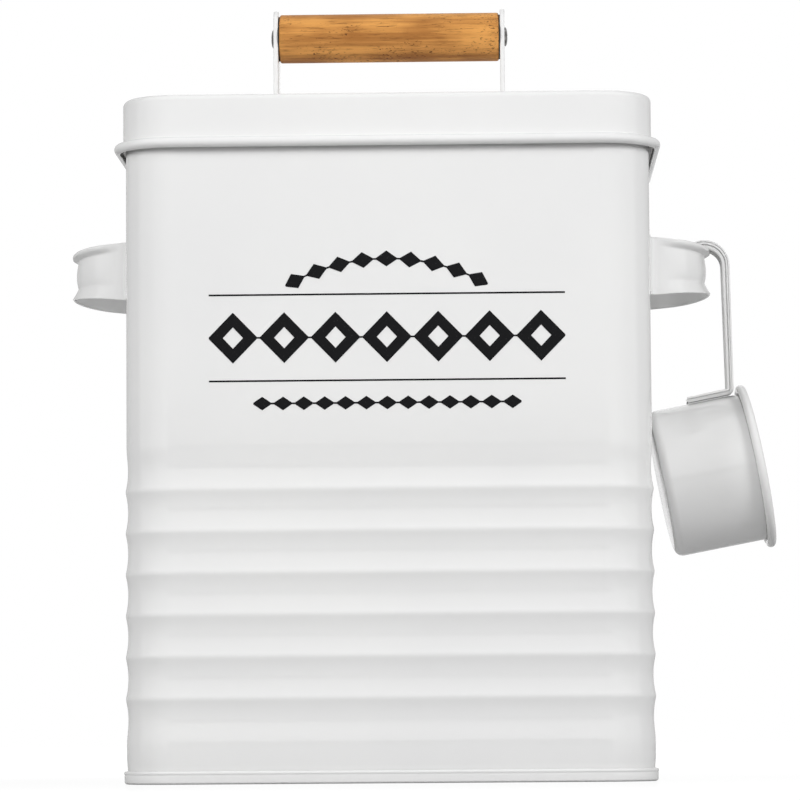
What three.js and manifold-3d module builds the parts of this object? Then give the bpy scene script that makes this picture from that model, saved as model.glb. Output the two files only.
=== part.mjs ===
// A white enamelled tin for laundry powder, with a lift-off lid, a bamboo lid grip,
// two side handles and a scoop that hangs on the right one. Millimetres, +Z up.
// The origin is the centre of the tin on the plane that it stands on, and the printed
// front faces -Y.
import * as THREE from 'three';
import { mergeVertices } from 'three/addons/utils/BufferGeometryUtils.js';
import Module from 'manifold-3d';

const wasm = await Module();
wasm.setup();

// Tin body: a ribbed tube of sheet steel with rounded corners
const bodyWidth = 218;
const bodyDepth = 148;
const bodyHeight = 282.8;
const cornerRadius = 21;
const bodySheet = 0.6;
const rimCurl = 2.4;

// Ribs: concave flutes that meet in crests, all the way round
const ribCount = 6;
const ribPitch = 17.1;
const lowestCrest = 34.9;
const crestOut = 0.5;
const fluteIn = 0.6;

// Base pan: its folded seam wraps the body's lower edge
const seamHeight = 5.3;
const seamReach = 1.0;
const baseSheet = 0.7;
const panelRecess = 2.0;

// Lid: a drawn panel and skirt, with a wired edge at the bottom
const lidSheet = 0.6;
const lidPanel = 0.7;
const lidDepth = 23.2;
const lidClearance = 0.5;
const lidEdgeRadius = 2.5;
const wiredHeight = 5.0;
const wiredReach = 3.8;

// Lid handle: a bamboo grip between the legs of one bent strap
const bracketSpan = 99.3;
const strapThickness = 2.0;
const strapWidth = 18;
const strapBend = 4;
const strapEndRadius = 10;
const strapAboveGrip = 12;
const gripHeight = 35.2;
const gripDiameter = 20.8;
const gripEase = 1.0;
const washerThickness = 0.55;
const washerRadius = 9.6;

// Screws into the grip and rivets into the lid
const screwShankRadius = 1.6;
const screwLength = 20;
const screwHeadRadius = 4.1;
const screwHeadHeight = 1.3;
const screwSlot = 0.9;
const rivetRadius = 2.0;
const rivetHeadRadius = 4.0;
const rivetHeadHeight = 1.5;
const rivetSpacing = 56;

// Side handles: an oval loop of channel with two flat ears on the side wall
const handleReach = 27.7;
const handleHalfSpan = 31;
const handleCentre = 215.5;
const handleWaist = 18.2;
const handleEarHeight = 24.2;
const handleSheet = 0.9;
const channelDepth = 1.9;
const channelBulge = 0.3;
const channelLip = 0.5;
const earLength = 8;
const earBend = 3;

// Scoop: a drawn cup with a wired rim, and a channel strip bent into a hook
const scoopRadius = 31.5;
const scoopDepth = 44;
const scoopSheet = 0.7;
const scoopCorner = 4;
const scoopWire = 2.2;
const scoopTilt = 10;
const scoopDrop = 92.1;
const hookWidth = 12;
const hookSheet = 0.8;
const hookLip = 0.4;
const hookRadius = 10.8;
const hookPastTip = 2.7;
const hookBend = 3.2;
const hookFoot = 23;
const hookFootDepth = 2.4;
const hookTopDepth = 3.8;
const hookLeg = 5;

// Print on the front: black enamel rules and rows of lozenges
const printThickness = 0.12;
const printWidth = 146.4;
const ruleHeight = 0.7;
const upperRule = 200.2;
const lowerRule = 164.7;
const bandCentre = 182.5;
const bandHeight = 21;
const bandCount = 7;
const archTop = 214.8;
const archRadius = 84;
const archHeight = 6.6;
const archCount = 9;
const archPitch = 9.8;
const footRow = 155.4;
const footRowHeight = 5.6;
const footRowWidth = 110;
const footRowCount = 13;
const lozengeGap = 1.3;
const lozengeNeck = 0.35;

// Clearances
const fitGap = 0.3;

// Smoothness
const cornerSteps = 6;
const fluteSteps = 4;
const roundSteps = 40;
const smallSteps = 20;

// Places that follow from the sizes
const lidUnderside = bodyHeight + fitGap;
const lidTop = lidUnderside + lidPanel;
const lidBottom = lidTop - lidDepth;
const skirtOut = lidClearance + lidSheet;
const gripAxis = lidTop + gripHeight;
const legInner = bracketSpan / 2 - strapThickness;
const sideWall = bodyWidth / 2;
const frontWall = -bodyDepth / 2;
const handleTip = sideWall + handleReach;
const tilt = THREE.MathUtils.degToRad(scoopTilt);

const enamel = { color: 0xf1f0ed, roughness: 0.22, metalness: 0 };
const blackEnamel = { color: 0x17171a, roughness: 0.3, metalness: 0 };
const bamboo = { color: 0xa8672c, roughness: 0.5, metalness: 0 };
const darkSteel = { color: 0x3c3b3a, roughness: 0.35, metalness: 0.9 };
const blackFibre = { color: 0x1d1a18, roughness: 0.8, metalness: 0 };

const tin = new THREE.Group();
const lid = new THREE.Group();
const scoop = new THREE.Group();
const print = new THREE.Group();
tin.add(lid, scoop, print);

function addMesh(parent, name, geometry, finish) {
  const mesh = new THREE.Mesh(geometry, new THREE.MeshStandardMaterial(finish));
  mesh.name = name;
  parent.add(mesh);
  return mesh;
}

// Turns a geometry inside out when its faces point in.
function faceOut(geometry) {
  const p = geometry.getAttribute('position');
  const index = geometry.index.array;
  const [a, b, c] = [new THREE.Vector3(), new THREE.Vector3(), new THREE.Vector3()];
  let volume = 0;
  for (let i = 0; i < index.length; i += 3) {
    a.fromBufferAttribute(p, index[i]);
    b.fromBufferAttribute(p, index[i + 1]);
    c.fromBufferAttribute(p, index[i + 2]);
    volume += a.dot(b.cross(c));
  }
  if (volume < 0) {
    for (let i = 0; i < index.length; i += 3) {
      [index[i], index[i + 1]] = [index[i + 1], index[i]];
    }
  }
  return geometry;
}

// Joins rings of equal length with quads. A closed skin joins the last ring to the
// first one, and an open skin gets a flat cap at each end.
function skin(rings, closed) {
  const count = rings[0].length;
  const index = [];
  const joins = closed ? rings.length : rings.length - 1;
  for (let r = 0; r < joins; r++) {
    const here = r * count;
    const next = ((r + 1) % rings.length) * count;
    for (let i = 0; i < count; i++) {
      const j = (i + 1) % count;
      index.push(here + i, here + j, next + j, here + i, next + j, next + i);
    }
  }
  if (!closed) {
    const last = (rings.length - 1) * count;
    const flat = flattened(rings[0]);
    for (const [i, j, k] of THREE.ShapeUtils.triangulateShape(flat, [])) index.push(i, k, j);
    const flatEnd = flattened(rings[rings.length - 1]);
    for (const [i, j, k] of THREE.ShapeUtils.triangulateShape(flatEnd, [])) {
      index.push(last + i, last + j, last + k);
    }
  }
  const geometry = new THREE.BufferGeometry().setFromPoints(rings.flat());
  geometry.setIndex(index);
  return faceOut(geometry);
}

// The ring's points in the two directions of its own plane, running anticlockwise.
function flattened(ring) {
  const normal = new THREE.Vector3();
  for (let i = 0; i < ring.length; i++) {
    normal.add(ring[i].clone().cross(ring[(i + 1) % ring.length]));
  }
  normal.normalize();
  const u = Math.abs(normal.z) > 0.9 ? new THREE.Vector3(1, 0, 0) : new THREE.Vector3(0, 0, 1);
  u.addScaledVector(normal, -u.dot(normal)).normalize();
  const v = normal.clone().cross(u);
  return ring.map((p) => new THREE.Vector2(p.dot(u), p.dot(v)));
}

// A rounded rectangle at one height, standing out from the body's plain wall by out.
function bodyRing(out, z) {
  const radius = cornerRadius + out;
  const centreX = bodyWidth / 2 - cornerRadius;
  const centreY = bodyDepth / 2 - cornerRadius;
  const ring = [];
  for (const [sx, sy, start] of [[1, 1, 0], [-1, 1, 1], [-1, -1, 2], [1, -1, 3]]) {
    for (let i = 0; i <= cornerSteps; i++) {
      const angle = ((start + i / cornerSteps) * Math.PI) / 2;
      const x = sx * centreX + radius * Math.cos(angle);
      const y = sy * centreY + radius * Math.sin(angle);
      ring.push(new THREE.Vector3(x, y, z));
    }
  }
  return ring;
}

// A quarter or other arc of a section, as [out, z] points.
function arc(out, z, radiusOut, radiusZ, from, to, steps) {
  const points = [];
  for (let i = 0; i <= steps; i++) {
    const angle = THREE.MathUtils.degToRad(from + ((to - from) * i) / steps);
    points.push([out + radiusOut * Math.cos(angle), z + radiusZ * Math.sin(angle)]);
  }
  return points;
}

function solidOf(geometry) {
  const plain = new THREE.BufferGeometry();
  plain.setAttribute('position', geometry.getAttribute('position').clone());
  if (geometry.index) plain.setIndex(geometry.index.clone());
  const merged = mergeVertices(plain, 1e-5);
  const vertProperties = new Float32Array(merged.getAttribute('position').array);
  const triVerts = new Uint32Array(merged.index.array);
  return new wasm.Manifold(new wasm.Mesh({ numProp: 3, vertProperties, triVerts }));
}

function geometryOf(solid) {
  const mesh = solid.getMesh();
  const geometry = new THREE.BufferGeometry();
  geometry.setAttribute('position', new THREE.BufferAttribute(mesh.vertProperties, 3));
  geometry.setIndex(new THREE.BufferAttribute(mesh.triVerts, 1));
  return geometry;
}

function cut(geometry, tools) {
  let solid = solidOf(geometry);
  for (const tool of tools) solid = solid.subtract(solidOf(tool));
  return geometryOf(solid);
}

// A turned piece from an outline of [radius, height] points, about the Z axis.
function turned(points, steps = roundSteps) {
  const outline = points.map(([r, z]) => new THREE.Vector2(r, z));
  const lathe = new THREE.LatheGeometry(outline, steps);
  lathe.deleteAttribute('normal');
  lathe.deleteAttribute('uv');
  const geometry = mergeVertices(lathe, 1e-5);
  dropEmptyFaces(geometry);
  return faceOut(geometry.rotateX(Math.PI / 2));
}

// A lathe leaves a flat sliver at each pole, where two corners of a face are one point.
function dropEmptyFaces(geometry) {
  const kept = [];
  const index = geometry.index.array;
  for (let i = 0; i < index.length; i += 3) {
    const [a, b, c] = [index[i], index[i + 1], index[i + 2]];
    if (a !== b && b !== c && c !== a) kept.push(a, b, c);
  }
  geometry.setIndex(kept);
}

function rod(radius, length) {
  const half = length / 2;
  return turned([[0, -half], [radius, -half], [radius, half], [0, half]], smallSteps);
}

// The wall's section from the seam to the rim: flutes between the crests, and a half
// flute that fades into the plain wall above the top crest and below the lowest one.
function wallLine() {
  const half = ribPitch / 2;
  const highest = lowestCrest + (ribCount - 1) * ribPitch;
  const line = [[-fitGap, fitGap + baseSheet], [-fitGap, seamHeight + 1.2], [0, seamHeight + 5]];
  const fade = (z, towards) => [
    [0, z + towards * 2.2 * half],
    [-fluteIn * 0.5, z + towards * 1.6 * half],
    [-fluteIn, z + towards * half],
    [(crestOut - fluteIn * 2) / 3, z + towards * 0.5 * half],
  ];
  line.push(...fade(lowestCrest, -1));
  for (let crest = 0; crest < ribCount - 1; crest++) {
    const middle = lowestCrest + (crest + 0.5) * ribPitch;
    for (let i = 0; i < fluteSteps; i++) {
      const u = (2 * i) / fluteSteps - 1;
      line.push([(crestOut + fluteIn) * u * u - fluteIn, middle + u * half]);
    }
  }
  line.push([crestOut, highest], ...fade(highest, 1).reverse());
  line.push([0, bodyHeight - rimCurl]);
  return line;
}

// The body is one sheet: the same line outside and inside, closed by a curl at the rim.
function bodyShell() {
  const outside = wallLine();
  const inside = outside.slice(0, -1).map(([out, z]) => [out - bodySheet, z]).reverse();
  const halfCurl = rimCurl / 2;
  const curl = arc(-halfCurl, bodyHeight - halfCurl, halfCurl, halfCurl, 30, 150, 4);
  const back = [[-rimCurl, bodyHeight - rimCurl], [-bodySheet, bodyHeight - 1.4 * rimCurl]];
  const section = [...outside, ...curl, ...back, ...inside];
  return skin(section.map(([out, z]) => bodyRing(out, z)), true);
}

// The base is one sheet: a panel, a fold that wraps the body's edge, and a rounded lip.
function basePan() {
  const innerFace = -fitGap - bodySheet - fitGap;
  const foot = innerFace - baseSheet;
  const section = [
    [foot - panelRecess, panelRecess],
    [foot - 0.3, 0.4],
    [foot + 0.1, 0],
    [seamReach - 0.4, 0],
    [seamReach, 0.4],
    [seamReach, seamHeight - 1.3],
    [seamReach + 0.2, seamHeight - 0.8],
    [seamReach, seamHeight - 0.2],
    [seamReach - 0.4, seamHeight],
    [0, seamHeight - 0.3],
    [0, baseSheet],
    [innerFace, baseSheet],
    [innerFace, seamHeight - 0.8],
    [foot, seamHeight - 0.8],
    [foot, panelRecess + baseSheet],
  ];
  return skin(section.map(([out, z]) => bodyRing(out, z)), false);
}

// The lid's section runs from the panel's top to its underside, round the wired edge.
function lidShell() {
  const r = lidEdgeRadius;
  const wireMiddle = lidBottom + wiredHeight / 2;
  const reach = skirtOut + wiredReach - lidClearance;
  const shoulder = lidBottom + wiredHeight + 0.8;
  const section = [
    ...arc(skirtOut - r, lidTop - r, r, r, 90, 0, 4),
    [skirtOut, shoulder],
    [skirtOut + 0.5, shoulder - 0.7],
    ...arc(lidClearance, wireMiddle, reach, wiredHeight / 2, 65, -84, 7),
    [lidClearance, lidBottom + 0.6],
    ...arc(skirtOut - r, lidTop - r, r - lidSheet, r - lidPanel, 0, 90, 3),
  ];
  const shell = skin(section.map(([out, z]) => bodyRing(out, z)), false);
  const holes = rivetPlaces().map((x) => {
    return rod(rivetRadius + fitGap, 4 * lidPanel).translate(x, 0, lidTop - lidPanel / 2);
  });
  return cut(shell, holes);
}

function rivetPlaces() {
  return [-rivetSpacing / 2, rivetSpacing / 2];
}

// The strap's edge view: a U of even thickness with rounded bends.
function strapOutline() {
  const half = bracketSpan / 2;
  const top = gripHeight + strapAboveGrip;
  const t = strapThickness;
  const bend = strapBend;
  const shape = new THREE.Shape();
  shape.moveTo(-half, top);
  shape.lineTo(-half, bend);
  shape.absarc(-half + bend, bend, bend, Math.PI, 1.5 * Math.PI, false);
  shape.lineTo(half - bend, 0);
  shape.absarc(half - bend, bend, bend, 1.5 * Math.PI, 2 * Math.PI, false);
  shape.lineTo(half, top);
  shape.lineTo(half - t, top);
  shape.lineTo(half - t, bend);
  shape.absarc(half - bend, bend, bend - t, 2 * Math.PI, 1.5 * Math.PI, true);
  shape.lineTo(-half + bend, t);
  shape.absarc(-half + bend, bend, bend - t, 1.5 * Math.PI, Math.PI, true);
  shape.lineTo(-half + t, top);
  return shape;
}

// The strap's face view: straight sides, and a rounded top end.
function strapFace() {
  const half = strapWidth / 2;
  const top = gripHeight + strapAboveGrip;
  const centre = top - strapEndRadius;
  const angle = Math.acos(half / strapEndRadius);
  const shape = new THREE.Shape();
  shape.moveTo(-half, -1);
  shape.lineTo(half, -1);
  shape.absarc(0, centre, strapEndRadius, angle, Math.PI - angle, false);
  return shape;
}

function lidBracket() {
  const along = { depth: strapWidth, bevelEnabled: false, curveSegments: 5 };
  const edge = new THREE.ExtrudeGeometry(strapOutline(), along);
  edge.rotateX(Math.PI / 2).translate(0, strapWidth / 2, 0);
  const across = { depth: bracketSpan + 2, bevelEnabled: false, curveSegments: 12 };
  const face = new THREE.ExtrudeGeometry(strapFace(), across);
  face.rotateX(Math.PI / 2).rotateZ(Math.PI / 2).translate(-bracketSpan / 2 - 1, 0, 0);
  const strap = solidOf(edge).intersect(solidOf(face));
  const screwHole = rod(screwShankRadius + fitGap, bracketSpan + 2);
  screwHole.rotateY(Math.PI / 2).translate(0, 0, gripHeight);
  const rivetHoles = rivetPlaces().map((x) => {
    return rod(rivetRadius + fitGap, 4 * strapThickness).translate(x, 0, strapThickness / 2);
  });
  return cut(geometryOf(strap), [screwHole, ...rivetHoles]).translate(0, 0, lidTop);
}

// A rivet from its head on the strap down to its tail under the lid's panel.
function rivet() {
  const head = lidTop + strapThickness;
  const tail = lidUnderside;
  const tailRadius = rivetRadius * 1.6;
  return turned([
    [0, tail - rivetRadius / 2],
    [tailRadius - 0.4, tail - rivetRadius / 2],
    [tailRadius, tail - rivetRadius / 4],
    [tailRadius, tail],
    [rivetRadius, tail],
    [rivetRadius, head],
    ...arc(0, head, rivetHeadRadius, rivetHeadHeight, 0, 75, 4),
    [0, head + rivetHeadHeight],
  ], smallSteps);
}

// The grip is a round bamboo rod with eased ends and a blind hole in each end.
function bambooGrip() {
  const half = legInner - washerThickness;
  const r = gripDiameter / 2;
  const hole = screwShankRadius + fitGap;
  const holeEnd = bracketSpan / 2 - screwLength - fitGap;
  const end = [
    [hole, half],
    ...arc(r - gripEase, half - gripEase, gripEase, gripEase, 90, 0, 3),
  ];
  const otherEnd = end.map(([radius, x]) => [radius, -x]).reverse();
  const points = [[0, holeEnd], [hole, holeEnd], ...end, ...otherEnd, [hole, -holeEnd]];
  return turned([...points, [0, -holeEnd]]).rotateY(Math.PI / 2).translate(0, 0, gripAxis);
}

function washer(side) {
  const hole = screwShankRadius + fitGap;
  const [near, far] = [legInner - washerThickness, legInner];
  const ring = [[hole, near], [washerRadius, near], [washerRadius, far], [hole, far], [hole, near]];
  const geometry = turned(ring, 2 * smallSteps).rotateY(Math.PI / 2).translate(0, 0, gripAxis);
  return side < 0 ? geometry.rotateZ(Math.PI) : geometry;
}

// A pan-head screw: the head bears on the strap, and a cross is sunk in it.
function screw(side) {
  const seat = bracketSpan / 2;
  const tip = seat - screwLength;
  const body = turned([
    [0, tip],
    [screwShankRadius * 0.4, tip],
    [screwShankRadius, tip + 2 * screwShankRadius],
    [screwShankRadius, seat],
    [screwHeadRadius, seat],
    ...arc(0, seat + 0.3, screwHeadRadius, screwHeadHeight - 0.3, 0, 75, 4),
    [0, seat + screwHeadHeight],
  ], smallSteps);
  const length = 1.1 * screwHeadRadius;
  const place = (box) => box.translate(0, 0, seat + screwHeadHeight);
  const bars = [
    place(new THREE.BoxGeometry(length, screwSlot, screwSlot * 1.6)),
    place(new THREE.BoxGeometry(screwSlot, length, screwSlot * 1.6)),
  ];
  const geometry = cut(body, bars).rotateY(Math.PI / 2).translate(0, 0, gripAxis);
  return side < 0 ? geometry.rotateZ(Math.PI) : geometry;
}

// Sweeps a section along a path in one plane. The section's first number runs to the
// right of the way along the path, and its second one across the plane.
function sweep(path, sectionAt, toSpace) {
  const rings = path.map((p, i) => {
    const before = path[Math.max(i - 1, 0)];
    const after = path[Math.min(i + 1, path.length - 1)];
    const right = bisector(before, p, after);
    return sectionAt(i / (path.length - 1), p).map(([n, v]) => {
      return toSpace(p.x + right.x * n, p.y + right.y * n, v);
    });
  });
  return skin(rings, false);
}

function bisector(before, here, after) {
  const way = new THREE.Vector2();
  for (const step of [here.clone().sub(before), after.clone().sub(here)]) {
    if (step.length() > 1e-6) way.add(step.normalize());
  }
  way.normalize();
  return new THREE.Vector2(way.y, -way.x);
}

// The loop of a side handle from above: an ear on the wall, a bend, half an oval, and
// the same again. Each point also says how far round the oval it is, from 0 to 1.
function handlePath() {
  const face = sideWall + handleSheet;
  const across = handleReach - channelDepth - handleSheet - earBend;
  const centre = new THREE.Vector2(face + earBend, 0);
  const points = [];
  const put = (x, y, round) => points.push(Object.assign(new THREE.Vector2(x, y), { round }));
  put(face, -handleHalfSpan - earBend - earLength, 0);
  for (const angle of [180, 150, 120]) {
    const a = THREE.MathUtils.degToRad(angle);
    const y = -handleHalfSpan - earBend + earBend * Math.sin(a);
    put(centre.x + earBend * Math.cos(a), y, 0);
  }
  const steps = 18;
  for (let i = 0; i <= steps; i++) {
    const a = Math.PI * (i / steps - 0.5);
    const round = 1 - Math.abs(2 * (i / steps) - 1);
    put(centre.x + across * Math.cos(a), handleHalfSpan * Math.sin(a), round);
  }
  const mirrored = points.slice(0, 4).reverse();
  for (const p of mirrored) put(p.x, -p.y, 0);
  return points;
}

// The channel's section: a slightly bulged web whose edges flare into lipped flanges.
// It is flat at the ears and full depth from a third of the way round.
function handleSection(along, point) {
  const depth = THREE.MathUtils.smoothstep(point.round, 0.02, 0.35);
  const half = THREE.MathUtils.lerp(handleEarHeight, handleWaist, point.round) / 2;
  const bulge = channelBulge * depth;
  const flare = channelDepth * depth;
  const lip = channelLip * depth;
  const outside = [
    [flare, -1], [flare * 0.42, -0.8], [0, -0.56], [bulge, -0.2],
    [bulge, 0.2], [0, 0.56], [flare * 0.42, 0.8], [flare, 1],
  ];
  const inside = [
    [flare - handleSheet - lip, 1], [flare * 0.42 - handleSheet, 0.76],
    [-handleSheet, 0.5], [bulge - handleSheet, 0.2], [bulge - handleSheet, -0.2],
    [-handleSheet, -0.5], [flare * 0.42 - handleSheet, -0.76], [flare - handleSheet - lip, -1],
  ];
  return [...outside, ...inside].map(([n, v]) => [n, v * half]);
}

function sideHandle(side) {
  const geometry = sweep(handlePath(), handleSection, (x, y, v) => {
    return new THREE.Vector3(x, y, handleCentre + v);
  });
  return side < 0 ? geometry.rotateZ(Math.PI) : geometry;
}

// Where the scoop's hook and cup lie, in the plane y = 0. The hook's flanges sit on the
// side handle's upper flange, and the cup's lower rim corner leans on the side wall.
function scoopPlaces() {
  const inner = hookRadius - hookTopDepth;
  const flangeTop = handleCentre + handleWaist / 2;
  const drop = Math.sqrt(inner ** 2 - hookPastTip ** 2);
  const hook = new THREE.Vector2(handleTip - hookPastTip, flangeTop + fitGap - drop);
  const axis = new THREE.Vector2(Math.cos(tilt), Math.sin(tilt));
  const up = new THREE.Vector2(-axis.y, axis.x);
  const flat = scoopRadius - scoopCorner;
  const lean = scoopCorner - (scoopCorner * axis.x + flat * up.x);
  const base = new THREE.Vector2(sideWall + fitGap + lean, hook.y - scoopDrop);
  const at = (along, out) => base.clone().addScaledVector(axis, along).addScaledVector(up, out);
  return { hook, axis, base, at };
}

// The cup in its own frame: base at z = 0 and mouth up, with a wire rolled in the rim.
function scoopCup() {
  const r = scoopRadius;
  const w = scoopWire;
  const rim = scoopDepth - w;
  const inner = r - scoopSheet;
  const corner = scoopCorner;
  return turned([
    [0, 0],
    ...arc(r - corner, corner, corner, corner, -90, 0, 4),
    [r, rim - 0.8 * w],
    ...arc(r + w, rim, w, w, -110, 150, 9),
    [inner, rim + 0.5 * w],
    ...arc(r - corner, corner, corner - scoopSheet, corner - scoopSheet, 0, -90, 4),
    [0, scoopSheet],
  ]);
}

// Where the line from a point touches a circle on its right-hand side.
function touchPoint(from, centre, radius) {
  const away = centre.clone().sub(from);
  const turn = -Math.asin(radius / away.length());
  const length = Math.sqrt(away.lengthSq() - radius ** 2);
  return away.rotateAround(new THREE.Vector2(), turn).setLength(length).add(from);
}

// The strip's outer face: along the cup, up past the rim, over the handle and down.
function hookPath() {
  const { hook, axis, at } = scoopPlaces();
  const beside = at(scoopDepth - 2 * scoopWire, scoopRadius + 2 * scoopWire);
  beside.x -= 2 * fitGap;
  const touch = touchPoint(beside, hook, hookRadius);
  const rise = touch.clone().sub(beside).normalize();
  const start = at(scoopDepth - scoopWire - hookFoot, scoopRadius + fitGap);
  const reach = beside.clone().sub(start);
  const along = reach.cross(rise) / axis.cross(rise);
  const corner = start.clone().addScaledVector(axis, along);
  const back = hookBend * Math.tan(Math.acos(axis.dot(rise)) / 2);
  const points = [start, start.clone().lerp(corner, 0.45)];
  points.push(...filletPoints(corner, axis, rise, back, 5));
  points.push(beside.clone().lerp(touch, 0.35), beside.clone().lerp(touch, 0.7));
  const first = Math.atan2(touch.y - hook.y, touch.x - hook.x);
  const steps = 16;
  for (let i = 0; i <= steps; i++) {
    const a = first + ((Math.PI - first) * i) / steps;
    const spot = new THREE.Vector2(Math.cos(a), Math.sin(a)).multiplyScalar(hookRadius);
    points.push(spot.add(hook));
  }
  points.push(new THREE.Vector2(hook.x - hookRadius, hook.y - hookLeg));
  return points;
}

// A corner between two ways, rounded by a curve that starts and ends back from it.
function filletPoints(corner, wayIn, wayOut, back, steps) {
  const from = corner.clone().addScaledVector(wayIn, -back);
  const to = corner.clone().addScaledVector(wayOut, back);
  return new THREE.QuadraticBezierCurve(from, corner, to).getPoints(steps);
}

// The hook's section: a web on the outer face and two lipped flanges that point inwards.
function hookSection(along) {
  const depth = THREE.MathUtils.lerp(hookFootDepth, hookTopDepth, Math.min(1, along * 1.6));
  const half = hookWidth / 2;
  const t = hookSheet;
  const side = [
    [0, half - 1], [-0.3, half - 0.3], [-1, half], [0.9 - depth, half],
    [0.5 - depth, half + hookLip], [-depth, half + hookLip], [-depth, half - t],
    [-t - 0.4, half - t], [-t, half - t - 0.4],
  ];
  const otherSide = side.map(([n, v]) => [n, -v]).reverse();
  return [...side, ...otherSide];
}

function scoopHook() {
  return sweep(hookPath(), hookSection, (x, z, v) => new THREE.Vector3(x, v, z));
}

// A flat shape on the front wall: x runs right and y up, and it stands out by the print's
// thickness.
function printed(shape) {
  const settings = { depth: printThickness, bevelEnabled: false, curveSegments: 24 };
  const geometry = new THREE.ExtrudeGeometry(shape, settings);
  return geometry.rotateX(Math.PI / 2).translate(0, frontWall, 0);
}

function rule(z) {
  const half = printWidth / 2;
  const corners = [[-half, -1], [half, -1], [half, 1], [-half, 1]];
  return printed(shapeOf(corners.map(([x, s]) => [x, z + (s * ruleHeight) / 2])));
}

function shapeOf(points) {
  return new THREE.Shape(points.map(([x, y]) => new THREE.Vector2(x, y)));
}

// A row of lozenges on one thin line. bend places a point of the straight row.
function lozengeRow(count, pitch, height, hollow, bend) {
  const half = (pitch - lozengeGap) / 2;
  const places = Array.from({ length: count }, (_, i) => (i - (count - 1) / 2) * pitch);
  const side = (s) => places.flatMap((x) => [
    [x - half, s * lozengeNeck], [x, (s * height) / 2], [x + half, s * lozengeNeck],
  ]);
  const outline = [...side(-1), ...side(1).reverse()];
  const shape = shapeOf(outline.map(([x, y]) => bend(x, y)));
  for (const x of hollow ? places : []) {
    const [w, h] = [half * 0.42, height * 0.21];
    const hole = [[x - w, 0], [x, -h], [x + w, 0], [x, h]].map(([u, v]) => bend(u, v));
    shape.holes.push(new THREE.Path(hole.map(([u, v]) => new THREE.Vector2(u, v))));
  }
  return printed(shape);
}

function archedPoint(x, y) {
  const angle = x / archRadius;
  const radius = archRadius + y;
  return [radius * Math.sin(angle), archTop - archRadius + radius * Math.cos(angle)];
}

addMesh(tin, 'body_shell', bodyShell(), enamel);
addMesh(tin, 'base_pan', basePan(), enamel);
addMesh(lid, 'lid_shell', lidShell(), enamel);
addMesh(lid, 'lid_bracket', lidBracket(), enamel);
addMesh(lid, 'bamboo_grip', bambooGrip(), bamboo);
for (const [side, word] of [[-1, 'left'], [1, 'right']]) {
  const place = (side * rivetSpacing) / 2;
  addMesh(lid, `bracket_rivet_${word}`, rivet(), enamel).position.set(place, 0, 0);
  addMesh(lid, `grip_washer_${word}`, washer(side), blackFibre);
  addMesh(lid, `grip_screw_${word}`, screw(side), darkSteel);
  addMesh(tin, `side_handle_${word}`, sideHandle(side), enamel);
}

const { base: scoopBase } = scoopPlaces();
const cup = addMesh(scoop, 'scoop_cup', scoopCup(), enamel);
cup.position.set(scoopBase.x, 0, scoopBase.y);
cup.rotation.y = Math.PI / 2 - tilt;
addMesh(scoop, 'scoop_hook', scoopHook(), enamel);

const bandPitch = (printWidth + lozengeGap) / bandCount;
const footPitch = (footRowWidth + lozengeGap) / footRowCount;
const upright = (z) => (x, y) => [x, z + y];
addMesh(print, 'print_rule_upper', rule(upperRule), blackEnamel);
addMesh(print, 'print_rule_lower', rule(lowerRule), blackEnamel);
const band = lozengeRow(bandCount, bandPitch, bandHeight, true, upright(bandCentre));
addMesh(print, 'print_lozenge_band', band, blackEnamel);
const arch = lozengeRow(archCount, archPitch, archHeight, false, archedPoint);
addMesh(print, 'print_lozenge_arch', arch, blackEnamel);
const row = lozengeRow(footRowCount, footPitch, footRowHeight, false, upright(footRow));
addMesh(print, 'print_lozenge_row', row, blackEnamel);

export default tin;
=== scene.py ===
# %% [markdown]
# # A white enamelled tin for laundry powder
#
# The real tin is pressed sheet steel under a thick coat of white enamel: a ribbed body, a
# lid that lifts off by a bamboo grip, two side handles, and a scoop that hangs on one of
# them. The sizes and places come from the frame, which is in metres with +Z up and the
# printed front towards -Y. Every piece here is a fine mesh that takes the place of a
# plainer solid of the same size.

# %% Load the frame
import math

import bmesh
import bpy
from mathutils import Euler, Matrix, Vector


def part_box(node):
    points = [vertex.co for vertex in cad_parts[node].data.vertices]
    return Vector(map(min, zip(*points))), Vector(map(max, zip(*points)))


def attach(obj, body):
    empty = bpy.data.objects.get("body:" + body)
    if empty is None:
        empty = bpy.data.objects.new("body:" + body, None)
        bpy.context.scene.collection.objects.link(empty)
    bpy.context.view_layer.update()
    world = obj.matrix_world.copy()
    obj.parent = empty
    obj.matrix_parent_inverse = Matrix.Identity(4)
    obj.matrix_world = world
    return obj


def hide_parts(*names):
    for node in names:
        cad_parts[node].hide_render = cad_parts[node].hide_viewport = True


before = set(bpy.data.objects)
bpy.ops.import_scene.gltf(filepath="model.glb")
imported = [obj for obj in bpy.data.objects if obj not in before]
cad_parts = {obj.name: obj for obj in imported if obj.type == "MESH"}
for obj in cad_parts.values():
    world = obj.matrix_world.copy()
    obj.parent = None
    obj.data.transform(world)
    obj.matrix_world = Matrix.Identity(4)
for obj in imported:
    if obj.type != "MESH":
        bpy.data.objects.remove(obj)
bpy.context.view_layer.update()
MM = 0.001

# %% [markdown]
# ## Camera
#
# The tin's upright edges lean in by only a few pixels, so it was seen through a long lens
# from about 1.7 metres. The camera is low, near the tin's foot, and looks slightly
# up and to the left. A long lens is set by its focal length against the sensor's width.

# %% Camera
CAMERA_PLACE = (0.0441, -1.7216, 0.0233)
CAMERA_UP_DEG = 4.616
CAMERA_LEFT_DEG = 1.353
CAMERA_ROLL_DEG = -0.42
FOCAL_PIXELS = 4034
PHOTO_PIXELS = 800


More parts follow.
